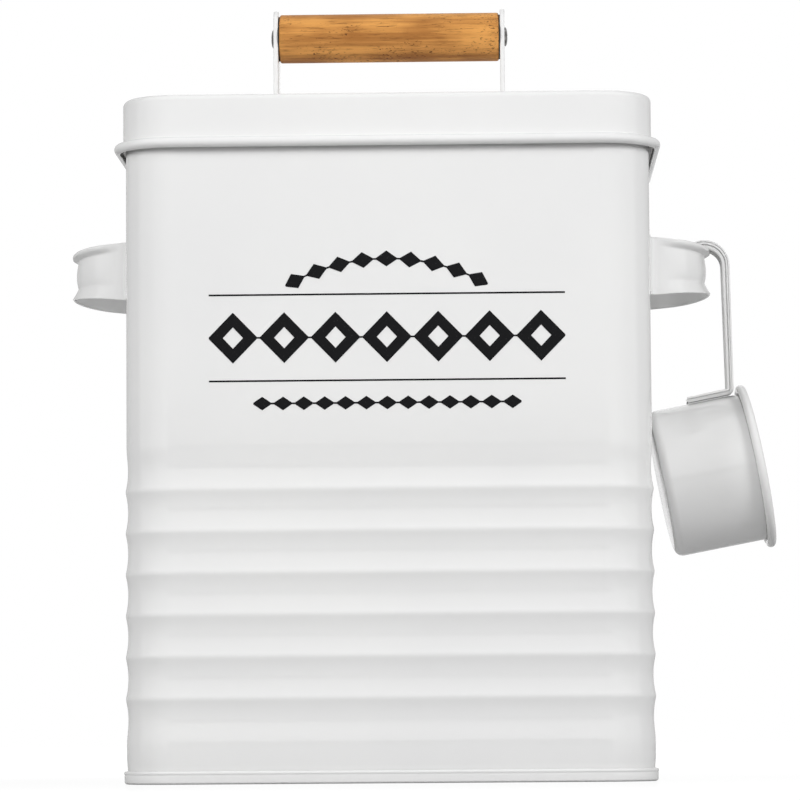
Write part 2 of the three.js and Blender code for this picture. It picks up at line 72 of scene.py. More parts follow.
def make_camera():
    data = bpy.data.cameras.new("camera")
    data.sensor_width = 36
    data.lens = FOCAL_PIXELS / PHOTO_PIXELS * data.sensor_width
    camera = bpy.data.objects.new("camera", data)
    bpy.context.collection.objects.link(camera)
    turn = Euler((0, 0, math.radians(CAMERA_LEFT_DEG))).to_matrix()
    lift = Euler((math.radians(90 + CAMERA_UP_DEG), 0, 0)).to_matrix()
    roll = Euler((0, 0, math.radians(CAMERA_ROLL_DEG))).to_matrix()
    camera.matrix_world = (turn @ lift @ roll).to_4x4()
    camera.location = CAMERA_PLACE
    bpy.context.scene.camera = camera
    print("camera lens in mm:", round(data.lens, 1))


make_camera()

# %% [markdown]
# ## Shader maths
#
# A finish is worked out as sums on numbers that change over the surface. A small class
# wraps such a number, so that the sums read as plain Python and each one adds a Math node.
# Colours go through Mix, because a Math node would turn them grey.

# %% A number that changes over the surface
class Tone:
    """A number on the surface; sums on it add Math nodes."""

    def __init__(self, finish, socket):
        self.finish = finish
        self.socket = socket

    def sum(self, operation, *others):
        inputs = {i: value for i, value in enumerate((self, *others))}
        return self.finish.node("ShaderNodeMath", {"operation": operation}, inputs)

    def __add__(self, other):
        return self.sum("ADD", other)

    def __sub__(self, other):
        return self.sum("SUBTRACT", other)

    def __rsub__(self, other):
        return self.finish.node(
            "ShaderNodeMath", {"operation": "SUBTRACT"}, {0: other, 1: self}
        )

    def __mul__(self, other):
        return self.sum("MULTIPLY", other)

    def __abs__(self):
        return self.sum("ABSOLUTE")

    def between(self, low, high):
        """0 below low, 1 above high, and a smooth step from one to the other."""
        inputs = {"Value": self, "From Min": low, "From Max": high}
        settings = {"interpolation_type": "SMOOTHSTEP"}
        return self.finish.node("ShaderNodeMapRange", settings, inputs)

    __radd__ = __add__
    __rmul__ = __mul__


# %% A finish
class Finish:
    """A node tree with one method that adds any node."""

    def __init__(self, tree):
        self.tree = tree
        tree.nodes.clear()

    def node(self, kind, settings=None, inputs=None, output=0):
        made = self.tree.nodes.new(kind)
        for key, value in (settings or {}).items():
            setattr(made, key, value)
        for key, value in (inputs or {}).items():
            if isinstance(value, Tone):
                self.tree.links.new(value.socket, made.inputs[key])
            else:
                made.inputs[key].default_value = value
        return Tone(self, made.outputs[output]) if made.outputs else None

    def place(self):
        return self.node("ShaderNodeTexCoord", output="Object")

    def stretched(self, scale):
        inputs = {0: self.place(), 1: scale}
        return self.node("ShaderNodeVectorMath", {"operation": "MULTIPLY"}, inputs)

    def noise(self, vector, scale, detail=3.0, roughness=0.5):
        inputs = {"Vector": vector, "Scale": scale, "Detail": detail, "Roughness": roughness}
        return self.node("ShaderNodeTexNoise", {}, inputs)

    def mix(self, factor, first, second):
        inputs = {"Factor": factor, 6: first, 7: second}
        return self.node("ShaderNodeMix", {"data_type": "RGBA"}, inputs, output=2)

    def bump(self, height, strength, distance):
        inputs = {"Height": height, "Strength": strength, "Distance": distance}
        return self.node("ShaderNodeBump", {}, inputs)


def make_material(name, inputs_from):
    material = bpy.data.materials.new(name)
    material.use_nodes = True
    finish = Finish(material.node_tree)
    shader = finish.node("ShaderNodeBsdfPrincipled", {}, inputs_from(finish))
    finish.node("ShaderNodeOutputMaterial", {}, {"Surface": shader})
    print("material:", name)
    return material


# %% [markdown]
# ## Finishes
#
# Enamel is a thick glass-like coat. It flows a little before it sets, so its surface has a
# very shallow, long ripple, and its gloss is nearly even. Where the coat thins or gathers,
# its white changes by a hair.

# %% White enamel
ENAMEL_WHITE = (0.83, 0.83, 0.825, 1)
ENAMEL_DEEP = (0.80, 0.80, 0.80, 1)


def white_enamel(finish):
    ripple = finish.noise(finish.place(), 55.0, 2.0)
    cloud = finish.noise(finish.place(), 9.0, 2.0)
    grain = finish.noise(finish.place(), 900.0, 1.0)
    colour = finish.mix(cloud.between(0.3, 0.7), ENAMEL_WHITE, ENAMEL_DEEP)
    return {
        "Base Color": colour,
        "Roughness": 0.06 + cloud * 0.05 + grain * 0.02,
        "Coat Weight": 0.2,
        "Coat Roughness": 0.04,
        "Normal": finish.bump(ripple + grain * 0.02, 0.12, 0.0004),
    }


enamel = make_material("white_enamel", white_enamel)

# %% [markdown]
# The print is black enamel, fired on in a thin layer. It is a little rougher than the white
# coat and has faint pinholes where the white shows as grey.

# %% Black enamel
PRINT_BLACK = (0.010, 0.010, 0.011, 1)
PRINT_WORN = (0.035, 0.035, 0.037, 1)


def black_enamel(finish):
    speck = finish.noise(finish.place(), 1400.0, 2.0, 0.7)
    cloud = finish.noise(finish.place(), 60.0, 2.0)
    return {
        "Base Color": finish.mix(speck.between(0.6, 0.8), PRINT_BLACK, PRINT_WORN),
        "Roughness": 0.3 + cloud * 0.15,
        "Specular IOR Level": 0.05,
        "Normal": finish.bump(speck, 0.1, 0.00005),
    }


print_black = make_material("black_enamel", black_enamel)

# %% [markdown]
# Bamboo has straight fibres that run its whole length, so noise is stretched along the rod:
# long soft streaks for the tone, and fine dark fibres and specks over them. Heating it gives
# the honey brown. The tone also drifts along the rod.

# %% Bamboo
BAMBOO_LIGHT = (0.72, 0.34, 0.09, 1)
BAMBOO_DARK = (0.36, 0.145, 0.035, 1)
BAMBOO_FIBRE = (0.060, 0.018, 0.006, 1)


def bamboo_finish(finish):
    streak = finish.noise(finish.stretched((14, 330, 330)), 1.0, 4.0, 0.6)
    fibre = finish.noise(finish.stretched((110, 1500, 1500)), 1.0, 3.0, 0.7)
    speck = finish.noise(finish.stretched((700, 1500, 1500)), 1.0, 2.0, 0.6)
    drift = finish.noise(finish.stretched((40, 75, 75)), 1.0, 2.0)
    patch = finish.noise(finish.stretched((30, 60, 60)), 1.7, 1.0)
    tone = (streak * 0.55 + drift * 0.45).between(0.36, 0.62)
    colour = finish.mix(tone, BAMBOO_DARK, BAMBOO_LIGHT)
    colour = finish.mix(fibre.between(0.52, 0.74) * 0.6, colour, BAMBOO_FIBRE)
    worn = speck.between(0.57, 0.66) * patch.between(0.46, 0.6) * 0.75
    colour = finish.mix(worn, colour, BAMBOO_FIBRE)
    colour = finish.mix(speck.between(0.68, 0.74) * 0.8, colour, BAMBOO_FIBRE)
    return {
        "Base Color": colour,
        "Roughness": 0.42 + fibre * 0.2,
        "Specular IOR Level": 0.25,
        "Normal": finish.bump(streak + fibre * 0.5, 0.35, 0.0003),
    }


bamboo = make_material("bamboo", bamboo_finish)

# %% [markdown]
# The screws are plated dark steel, lightly worn, and the washers are black fibre. The same
# dark steel also paints shade in the lid bead's hollow and in the crease under the scoop's rim.

# %% Dark steel and black fibre
STEEL_DARK = (0.16, 0.155, 0.15, 1)
STEEL_WORN = (0.42, 0.41, 0.40, 1)
FIBRE_BLACK = (0.012, 0.011, 0.010, 1)
FIBRE_GREY = (0.03, 0.028, 0.026, 1)


def dark_steel(finish):
    wear = finish.noise(finish.place(), 600.0, 3.0)
    return {
        "Base Color": finish.mix(wear.between(0.45, 0.7), STEEL_DARK, STEEL_WORN),
        "Roughness": 0.22 + wear * 0.2,
        "Metallic": 0.95,
        "Normal": finish.bump(wear, 0.15, 0.0001),
    }


def black_fibre(finish):
    fibre = finish.noise(finish.place(), 1500.0, 3.0)
    return {
        "Base Color": finish.mix(fibre, FIBRE_BLACK, FIBRE_GREY),
        "Roughness": 0.8,
        "Normal": finish.bump(fibre, 0.3, 0.0001),
    }


# This dark steel is the screws' own colour, and it is also painted shade on two lining pieces.
steel_and_painted_shade = make_material("dark_steel", dark_steel)
fibre_black = make_material("black_fibre", black_fibre)

# %% [markdown]
# ## Making meshes
#
# Pressed sheet is best made from rings: a row of closed outlines that are joined with quads.
# The same helper makes the body, where the rings are stacked rounded rectangles, and the
# handles, where a section is swept along a path.

# %% Rings to a mesh
def add_piece(name, mesh, material, body, sharp_deg=32):
    mesh.materials.append(material)
    mesh.shade_smooth()
    mesh.set_sharp_from_angle(angle=math.radians(sharp_deg))
    piece = bpy.data.objects.new(name, mesh)
    bpy.context.collection.objects.link(piece)
    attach(piece, body)
    print(name, "faces:", len(mesh.polygons))
    return piece


def merged_mesh(name, corners, faces, slivers=False):
    """Merges doubled corners and points the faces out; slivers=True drops flat faces too."""
    mesh = bpy.data.meshes.new(name)
    mesh.from_pydata(corners, [], faces)
    work = bmesh.new()
    work.from_mesh(mesh)
    bmesh.ops.remove_doubles(work, verts=work.verts, dist=1e-7)
    if slivers:
        bmesh.ops.dissolve_degenerate(work, edges=work.edges, dist=1e-8)
    bmesh.ops.recalc_face_normals(work, faces=work.faces)
    work.to_mesh(mesh)
    work.free()
    return mesh


def mesh_of(name, rings, closed):
    """Quads between the rings; an open row of rings gets a face at each end."""
    count = len(rings[0])
    corners = [tuple(p) for ring in rings for p in ring]
    faces = []
    for r in range(len(rings) if closed else len(rings) - 1):
        here, after = r * count, (r + 1) % len(rings) * count
        for i in range(count):
            j = (i + 1) % count
            faces.append((here + i, here + j, after + j, after + i))
    if not closed:
        faces.append(tuple(reversed(range(count))))
        faces.append(tuple(range(len(corners) - count, len(corners))))
    return merged_mesh(name, corners, faces)


def arc(out, height, radius_out, radius_up, start_deg, end_deg, steps):
    """Points on an oval arc, as (out, height)."""
    turn = end_deg - start_deg
    angles = [math.radians(start_deg + turn * i / steps) for i in range(steps + 1)]
    return [(out + radius_out * math.cos(a), height + radius_up * math.sin(a)) for a in angles]


# %% [markdown]
# ## The body
#
# The body is one sheet. Its lower half is rolled into flutes: concave hollows that meet in
# crests, so each rib shows a bright slope above its crest and a dark one under it. The wall
# is a line of points from foot to rim, and the flutes are parabolas between the crests.

# %% Sizes of the body
CREST_OUT = 0.5 * MM
FLUTE_IN = 0.6 * MM
RIB_COUNT = 6
RIB_PITCH = 17.1 * MM
LOWEST_CREST = 34.9 * MM
CORNER_RADIUS = 21 * MM
BODY_SHEET = 0.6 * MM
SEAM_GAP = 0.3 * MM
RIM_CURL = 2.4 * MM
SEAM_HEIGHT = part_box("base_pan")[1][2]
BASE_SHEET = 0.7 * MM
body_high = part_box("body_shell")[1]
HALF_WIDTH = body_high[0] - CREST_OUT
HALF_DEPTH = body_high[1] - CREST_OUT
RIM_TOP = body_high[2]
CORNER_STEPS = 14
print("plain wall at x =", round(HALF_WIDTH, 4), "and y =", round(HALF_DEPTH, 4))


def body_ring(out, z):
    """A rounded rectangle that stands out from the plain wall by out."""
    radius = CORNER_RADIUS + out
    ring = []
    for quarter, (sx, sy) in enumerate([(1, 1), (-1, 1), (-1, -1), (1, -1)]):
        for i in range(CORNER_STEPS + 1):
            angle = (quarter + i / CORNER_STEPS) * math.pi / 2
            x = sx * (HALF_WIDTH - CORNER_RADIUS) + radius * math.cos(angle)
            y = sy * (HALF_DEPTH - CORNER_RADIUS) + radius * math.sin(angle)
            ring.append(Vector((x, y, z)))
    return ring


# %% The wall's line
FLUTE_STEPS = 12
CREST_SOFTNESS = 0.12
FADE_LENGTH = 2.2


def flute_out(u):
    """How far a flute's surface stands out, for u from -1 at one crest to 1 at the next."""
    soft = min(1.0, (1 - abs(u)) / CREST_SOFTNESS)
    rounding = CREST_SOFTNESS * (1 - soft) ** 2 * (CREST_OUT + FLUTE_IN)
    return (CREST_OUT + FLUTE_IN) * u * u - FLUTE_IN - rounding


def half_flute(z, towards):
    """From the plain wall into a hollow and on towards the crest at z."""
    half = RIB_PITCH / 2
    points = []
    for i in range(FLUTE_STEPS):
        t = i / FLUTE_STEPS
        out = -FLUTE_IN * (0.5 - 0.5 * math.cos(math.pi * t))
        points.append((out, z + towards * (FADE_LENGTH - (FADE_LENGTH - 1) * t) * half))
    for i in range(FLUTE_STEPS):
        u = i / FLUTE_STEPS
        points.append((flute_out(u), z + towards * (1 - u) * half))
    return points


def wall_line():
    top_crest = LOWEST_CREST + (RIB_COUNT - 1) * RIB_PITCH
    line = [
        (-SEAM_GAP, SEAM_GAP + BASE_SHEET), (-SEAM_GAP, SEAM_HEIGHT + 1.2 * MM),
        (-0.2 * MM, SEAM_HEIGHT + 2.4 * MM), (0, SEAM_HEIGHT + 5 * MM),
    ]
    line += half_flute(LOWEST_CREST, -1)
    for rib in range(RIB_COUNT - 1):
        middle = LOWEST_CREST + (rib + 0.5) * RIB_PITCH
        for i in range(2 * FLUTE_STEPS):
            u = i / FLUTE_STEPS - 1
            line.append((flute_out(u), middle + u * RIB_PITCH / 2))
    line.append((flute_out(1), top_crest))
    line += reversed(half_flute(top_crest, 1))
    return line


# %% Body
def body_section():
    outside = wall_line() + [(0, RIM_TOP - RIM_CURL)]
    inside = [(out - BODY_SHEET, z) for out, z in reversed(outside[:-1])]
    half = RIM_CURL / 2
    curl = arc(-half, RIM_TOP - half, half, half, 20, 160, 10)
    back = [(-RIM_CURL, RIM_TOP - RIM_CURL), (-BODY_SHEET, RIM_TOP - 1.4 * RIM_CURL)]
    return outside + curl + back + inside


def make_body():
    rings = [body_ring(out, z) for out, z in body_section()]
    mesh = mesh_of("ribbed_body", rings, True)
    piece = add_piece("ribbed_body", mesh, enamel, "container")
    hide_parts("body_shell")


make_body()

# %% [markdown]
# ## The base
#
# The base panel's edge is folded up round the body's foot and pressed tight. From outside
# that shows as a narrow band with a fine rounded lip at its top.

# %% Base pan
def make_base():
    seam_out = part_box("base_pan")[1][0] - HALF_WIDTH
    inner_face = -2 * SEAM_GAP - BODY_SHEET
    foot = inner_face - BASE_SHEET
    recess = 2.0 * MM
    lip = 0.2 * MM
    face = seam_out - lip
    section = [(foot - recess, recess), (foot - 0.8 * MM, 0.9 * MM)]
    section += arc(foot + 0.3 * MM, 0.5 * MM, 0.5 * MM, 0.5 * MM, 200, 270, 5)
    section += arc(face - 1.3 * MM, 1.0 * MM, 1.3 * MM, 1.0 * MM, 270, 360, 8)
    section += [(face, SEAM_HEIGHT - 1.9 * MM), (face - 0.03 * MM, SEAM_HEIGHT - 1.6 * MM)]
    section += arc(face - 0.5 * MM, SEAM_HEIGHT - 0.8 * MM, 0.5 * MM + lip, 0.8 * MM, -40, 100, 10)
    fold = SEAM_HEIGHT - 0.8 * MM
    section += [(0, SEAM_HEIGHT - 0.4 * MM), (0, BASE_SHEET), (inner_face, BASE_SHEET)]
    section += [(inner_face, fold), (foot, fold), (foot, recess + BASE_SHEET)]
    rings = [body_ring(out, z) for out, z in section]
    mesh = mesh_of("seamed_base", rings, False)
    piece = add_piece("seamed_base", mesh, enamel, "container")
    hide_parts("base_pan")


make_base()

# %% [markdown]
# ## The lid
#
# The lid is drawn from one sheet: a flat panel, a rounded edge and a straight skirt. The
# skirt's bottom is rolled over a wire, which makes the thick bead that stiffens it. A small
# hollow runs above the bead, where the sheet turns out. The bead hangs clear of the body, and
# it is hollow behind, so the gap between them shows as a dark line. A dark sheet laid in that
# hollow adds painted shade there.

# %% Sizes of the lid
LID_CLEARANCE = 0.5 * MM
LID_SHEET = 0.6 * MM
LID_PANEL = 0.7 * MM
LID_EDGE_RADIUS = 2.5 * MM
BEAD_HEIGHT = 5.0 * MM
HEM_LIFT = 0.8 * MM
BEAD_ROLL = (BEAD_HEIGHT - HEM_LIFT) / 2
lid_low, lid_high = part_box("lid_shell")
BEAD_OUT = lid_high[0] - HALF_WIDTH
BEAD_TOP = lid_low[2] + BEAD_HEIGHT
print("the bead stands out by", round(BEAD_OUT, 4), "and ends at z =", round(BEAD_TOP, 4))


# %% Lid
def lid_section():
    top, hem = lid_high[2], lid_low[2] + HEM_LIFT
    skirt = LID_CLEARANCE + LID_SHEET
    radius, roll, turn = LID_EDGE_RADIUS, BEAD_ROLL, 1.0 * MM
    back = BEAD_OUT - roll - 0.4 * MM
    section = arc(skirt - radius, top - radius, radius, radius, 90, 0, 10)
    section += [(skirt, BEAD_TOP + turn + 0.8 * MM)]
    section += arc(skirt + turn, BEAD_TOP + turn, turn, turn, 180, 262, 6)
    section += arc(BEAD_OUT - roll, BEAD_TOP - roll, roll, roll, 98, -90, 18)
    section += [(back + 0.1 * MM, hem + 0.2 * MM), (back, hem + 0.8 * MM)]
    section += [(back, BEAD_TOP - 1.7 * MM), (LID_CLEARANCE + 0.2 * MM, BEAD_TOP - 1.0 * MM)]
    section += [(LID_CLEARANCE, BEAD_TOP - 0.4 * MM)]
    inside_out, inside_up = radius - LID_SHEET, radius - LID_PANEL
    section += arc(skirt - radius, top - radius, inside_out, inside_up, 0, 90, 6)
    return section


def make_lid():
    rings = [body_ring(out, z) for out, z in lid_section()]
    mesh = mesh_of("enamelled_lid", rings, False)
    piece = add_piece("enamelled_lid", mesh, enamel, "lid")
    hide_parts("lid_shell")


make_lid()

# %% [markdown]
# A thin sheet of dark steel lines the narrow hollow behind the bead. It is painted shade:
# white walls would bounce light about in the gap, and the dark sheet keeps the gap dark.

# %% A dark sheet inside the bead, as painted shade
def make_painted_shade_hem():
    lining = 0.1 * MM
    hem, roof = lid_low[2] + 1.0 * MM, BEAD_TOP - 1.75 * MM
    outer, inner = BEAD_OUT - BEAD_ROLL - 0.45 * MM, 0.75 * MM
    section = [(outer, hem), (outer, roof), (inner, roof + 0.65 * MM)]
    section += [(inner, roof + 0.65 * MM - lining), (outer - lining, roof - lining)]
    section += [(outer - lining, hem)]
    rings = [body_ring(out, z) for out, z in section]
    # This dark sheet paints the shade in the hollow behind the bead.
    add_piece("painted_shade_hem", mesh_of("painted_shade_hem", rings, True), steel_and_painted_shade, "lid")


make_painted_shade_hem()

# %% [markdown]
# ## Swept strips
#
# The strap, the side handles and the scoop's hook are all strips bent along a path. Each is
# a section swept along its path, where n runs to the right of the way and v across it.

# %% Sweep
def sweep(path, section_at, to_space):
    rings = []
    for i, here in enumerate(path):
        before, after = path[max(i - 1, 0)], path[min(i + 1, len(path) - 1)]
        way = Vector((0, 0))
        for step in (here - before, after - here):
            if step.length > 1e-9:
                way += step.normalized()
        way.normalize()
        right = Vector((way.y, -way.x))
        ring = []
        for n, v in section_at(i / (len(path) - 1)):
            ring.append(to_space(here.x + right.x * n, here.y + right.y * n, v))
        rings.append(ring)
    return rings


# %% [markdown]
# ## The lid's handle
#
# One strap is bent up at both ends and carries a bamboo rod between its legs. Enamel rounds
# the strap's edges, so its section is a rounded oblong, and its width shrinks towards the
# rounded end of each leg.

# %% Strap
STRAP_THICK = 2.0 * MM
STRAP_BEND = 4.0 * MM
strap_low, strap_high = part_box("lid_bracket")
STRAP_END_RADIUS = 10 * MM


def strap_path():
    left, right = strap_low[0], strap_high[0]
    top, foot = strap_high[2] - 0.05 * MM, strap_low[2]
    bend = STRAP_BEND
    leg = [top - (top - foot - bend) * (i / 24) ** 2 for i in range(24)]
    points = [Vector((left, z)) for z in leg]
    for i in range(9):
        a = math.radians(180 + 90 * i / 8)
        points.append(Vector((left + bend + bend * math.cos(a), foot + bend + bend * math.sin(a))))
    mirrored = [Vector((left + right - p.x, p.y)) for p in reversed(points)]
    return points + mirrored


def make_strap():
    path = strap_path()
    half_width = strap_high[1]
    centre = strap_high[2] - STRAP_END_RADIUS
    edge = 0.55 * MM

    def section(along):
        z = path[round(along * (len(path) - 1))].y
        rise = max(0.0, min(z - centre, STRAP_END_RADIUS))
        half = min(half_width, math.sqrt(max(STRAP_END_RADIUS**2 - rise**2, 0)))
        half = max(half, 2 * edge)
        points = []
        for n, v, start in [(-edge, half - edge, 0), (edge - STRAP_THICK, half - edge, 90)]:
            points += arc(n, v, edge, edge, start, start + 90, 4)
        for n, v, start in [(edge - STRAP_THICK, edge - half, 180), (-edge, edge - half, 270)]:
            points += arc(n, v, edge, edge, start, start + 90, 4)
        return points

    rings = sweep(path, section, lambda x, z, v: Vector((x, v, z)))
    mesh = mesh_of("lid_strap", rings, False)
    piece = add_piece("lid_strap", mesh, enamel, "lid")
    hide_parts("lid_bracket")


make_strap()

# %% [markdown]
# Turned pieces are an outline spun about an axis. The grip, washers, screws, rivets and the
# scoop's cup are all made this way, and then laid along their own axis.

# %% Turned pieces
def turned(name, outline, steps=64):
    """Spins (radius, height) points about Z; the outline starts and ends on the axis or closes."""
    rings = []
    for i in range(steps):
        a = 2 * math.pi * i / steps
        rings.append([Vector((r * math.cos(a), r * math.sin(a), z)) for r, z in outline])
    count = len(outline)
    corners = [tuple(p) for ring in rings for p in ring]
    faces = []
    for s in range(steps):
        here, after = s * count, (s + 1) % steps * count
        for i in range(count - 1):
            faces.append((here + i, after + i, after + i + 1, here + i + 1))
    return merged_mesh(name, corners, faces, slivers=True)


def lay_along_x(mesh, side, centre):
    """Turns a piece's Z axis to +X or -X, and puts its origin at centre."""
    for v in mesh.vertices:
        x, y, z = v.co
        v.co = Vector((side * z, y if side > 0 else -y, -x)) + Vector(centre)


# %% [markdown]
# The rod is turned and sanded, so it is straight and smooth, with eased ends.

# %% Bamboo grip
def make_grip():
    low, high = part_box("bamboo_grip")
    radius = (high[2] - low[2]) / 2
    half = (high[0] - low[0]) / 2
    ease = 0.9 * MM
    side = [(radius, -half + ease + 2 * (half - ease) * i / 40) for i in range(1, 40)]
    start = arc(radius - ease, -half + ease, ease, ease, -90, 0, 6)
    end = arc(radius - ease, half - ease, ease, ease, 0, 90, 6)
    mesh = turned("bamboo_rod", [(0, -half)] + start + side + end + [(0, half)], 72)
    lay_along_x(mesh, 1, (0, 0, (low[2] + high[2]) / 2))
    piece = add_piece("bamboo_rod", mesh, bamboo, "lid")
    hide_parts("bamboo_grip")


make_grip()

# %% [markdown]
# A screw is clamped through each leg. Its head is domed, and a cross is sunk in it.

# %% Screws, washers and rivets
def cut_cross(mesh, length, width, depth, height):
    """Sinks a cross in the top of a mesh whose top is at height."""
    body = bpy.data.objects.new("cross_cut", mesh)
    bpy.context.collection.objects.link(body)
    for sizes in ((length, width), (width, length)):
        bar = bpy.data.meshes.new("bar")
        shape = bmesh.new()
        bmesh.ops.create_cube(shape, size=1)
        for v in shape.verts:
            v.co = Vector((v.co.x * sizes[0], v.co.y * sizes[1], v.co.z * 2 * depth + height))
        shape.to_mesh(bar)
        shape.free()
        cutter = bpy.data.objects.new("bar", bar)
        bpy.context.collection.objects.link(cutter)
        boolean = body.modifiers.new("cut", "BOOLEAN")
        boolean.operation = "DIFFERENCE"
        boolean.object = cutter
        seen = bpy.context.evaluated_depsgraph_get()
        mesh = bpy.data.meshes.new_from_object(body.evaluated_get(seen))
        body.modifiers.clear()
        body.data = mesh
        bpy.data.objects.remove(cutter)
    bpy.data.objects.remove(body)
    return mesh


def make_screw(side, word):
    low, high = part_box(f"grip_screw_{word}")
    centre_z = (low[2] + high[2]) / 2
    radius = (high[2] - low[2]) / 2
    tip, crown = sorted((abs(low[0]), abs(high[0])))
    seat = strap_high[0]
    shank = 1.6 * MM
    head = arc(radius - 0.35 * MM, seat + 0.35 * MM, 0.35 * MM, 0.35 * MM, -90, 20, 5)
    dome = arc(0, seat + 0.35 * MM, radius * 0.985, crown - seat - 0.35 * MM, 15, 90, 12)
    outline = [(0, tip), (shank * 0.4, tip), (shank, tip + 2 * shank), (shank, seat)] + head + dome
    mesh = cut_cross(turned("screw", outline, 48), radius * 1.1, 0.9 * MM, 0.75 * MM, crown)
    mesh.name = f"domed_screw_{word}"
    lay_along_x(mesh, side, (0, 0, centre_z))
    piece = add_piece(f"domed_screw_{word}", mesh, steel_and_painted_shade, "lid")
    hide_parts(f"grip_screw_{word}")


def make_washer(side, word):
    low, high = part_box(f"grip_washer_{word}")
    near, far = sorted((abs(low[0]), abs(high[0])))
    outer, inner = (high[2] - low[2]) / 2, 1.9 * MM
    edge = 0.12 * MM
    outline = [(inner, near), (outer - edge, near), (outer, near + edge), (outer, far - edge)]
    outline += [(outer - edge, far), (inner, far), (inner, near)]
    mesh = turned(f"fibre_washer_{word}", outline, 64)
    lay_along_x(mesh, side, (0, 0, (low[2] + high[2]) / 2))
    piece = add_piece(f"fibre_washer_{word}", mesh, fibre_black, "lid")
    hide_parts(f"grip_washer_{word}")


def make_rivet(word):
    low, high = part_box(f"bracket_rivet_{word}")
    centre_x = (low[0] + high[0]) / 2
    head = strap_low[2] + STRAP_THICK
    tail = lid_high[2] - LID_PANEL
    radius = (high[0] - low[0]) / 2
    shank = 2.0 * MM
    outline = [(0, low[2])] + arc(2.8 * MM, low[2] + 0.4 * MM, 0.4 * MM, 0.4 * MM, -90, 0, 4)
    outline += [(3.2 * MM, tail), (shank, tail), (shank, head)]
    outline += arc(0, head, radius, high[2] - head, 0, 90, 12)
    mesh = turned(f"strap_rivet_{word}", outline, 40)
    for v in mesh.vertices:
        v.co.x += centre_x
    piece = add_piece(f"strap_rivet_{word}", mesh, enamel, "lid")
    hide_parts(f"bracket_rivet_{word}")


for side, word in ((-1, "left"), (1, "right")):
    make_screw(side, word)
    make_washer(side, word)
    make_rivet(word)

# %% [markdown]
# ## The side handles
#
# Each side handle is a channel bent into half an oval. Its edges flare out into two flanges
# and end in a soft rolled lip. Towards the wall the channel flattens and grows taller, and
# ends in an ear that lies flat on the wall.

# %% Side handles
HANDLE_SHEET = 0.9 * MM
CHANNEL_DEPTH = 1.9 * MM
HANDLE_HALF_SPAN = 31 * MM
EAR_BEND = 3 * MM
HANDLE_WAIST = 18.2 * MM


def smooth_step(x, low, high):
    t = max(0.0, min(1.0, (x - low) / (high - low)))
    return t * t * (3 - 2 * t)


def handle_path(reach, half_length):
    face = HALF_WIDTH + HANDLE_SHEET
    across = reach - CHANNEL_DEPTH - HANDLE_SHEET - EAR_BEND
    centre = face + EAR_BEND
    bend_y = HANDLE_HALF_SPAN + EAR_BEND
    points = [(face, -half_length, 0), (face, -half_length + 2 * MM, 0)]
    points += [(face, -bend_y - 1.5 * MM, 0)]
    for i in range(8):
        a = math.radians(180 - 90 * i / 8)
        points.append((centre + EAR_BEND * math.cos(a), -bend_y + EAR_BEND * math.sin(a), 0))
    steps = 64
    for i in range(steps + 1):
        a = math.pi * (i / steps - 0.5)
        round_about = 1 - abs(2 * i / steps - 1)
        points.append((centre + across * math.cos(a), HANDLE_HALF_SPAN * math.sin(a), round_about))
    points += [(x, -y, r) for x, y, r in reversed(points[:11])]
    return points


CHANNEL_LINE = (
    (0.60, 0.98), (1.52, 1.0), (1.82, 0.97), (1.90, 0.92), (1.78, 0.86), (1.35, 0.815),
    (0.70, 0.77), (0.05, 0.73), (-0.35, 0.70), (-0.50, 0.66), (-0.38, 0.58), (-0.10, 0.40),
    (0.10, 0.20), (0.15, 0.06), (0.10, -0.10), (-0.06, -0.26), (-0.32, -0.40), (-0.50, -0.47),
    (-0.46, -0.52), (-0.12, -0.60), (0.55, -0.74), (1.20, -0.86), (1.66, -0.93),
    (1.86, -0.965), (1.90, -0.985), (1.82, -1.0), (1.10, -1.0),
)


def channel_section(depth, half):
    """The channel's outline: (outward, height) points down its outside and back up inside."""
    outside = [(n * MM * depth, v * half) for n, v in CHANNEL_LINE]
    inside = [(n - HANDLE_SHEET, v * 0.97) for n, v in outside[1:-1]]
    return outside + inside[::-1]


def make_side_handle(side, word):
    low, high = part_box(f"side_handle_{word}")
    centre_z = (low[2] + high[2]) / 2
    ear_height = high[2] - low[2]
    reach = max(abs(low[0]), abs(high[0])) - HALF_WIDTH
    path = handle_path(reach, high[1])

    def section(along):
        round_about = path[round(along * (len(path) - 1))][2]
        half = (ear_height + (HANDLE_WAIST - ear_height) * round_about) / 2
        return channel_section(smooth_step(round_about, 0.02, 0.35), half)

    flat = [Vector((x, y)) for x, y, _ in path]
    rings = sweep(flat, section, lambda x, y, v: Vector((side * x, y, centre_z + v)))
    name = f"channel_handle_{word}"
    piece = add_piece(name, mesh_of(name, rings, False), enamel, "container")
    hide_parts(f"side_handle_{word}")


for side, word in ((-1, "left"), (1, "right")):
    make_side_handle(side, word)

# %% [markdown]
# ## The scoop
#
# The scoop's cup is drawn steel with its mouth rolled over a wire. It hangs on the right
# handle by a strip that is welded along the cup, bends up past the rim and hooks over the
# handle. The cup leans on the side wall, so it hangs a little askew.

# %% Places of the scoop
SCOOP_RADIUS = 31.5 * MM
SCOOP_DEPTH = 43 * MM
SCOOP_SHEET = 0.7 * MM
SCOOP_CORNER = 4 * MM
SCOOP_WIRE = 1.9 * MM
SCOOP_TILT = math.radians(10.8)
SCOOP_DROP = 93.5 * MM
HOOK_RADIUS = 10.8 * MM
HOOK_TOP_DEPTH = 3.8 * MM
HOOK_FOOT_DEPTH = 2.4 * MM
HOOK_PAST_TIP = 2.7 * MM
HOOK_SHEET = 0.8 * MM
HOOK_FOOT = 23 * MM
HOOK_BEND = 3.2 * MM
HOOK_LEG = 5 * MM
CUP_STEPS = 96

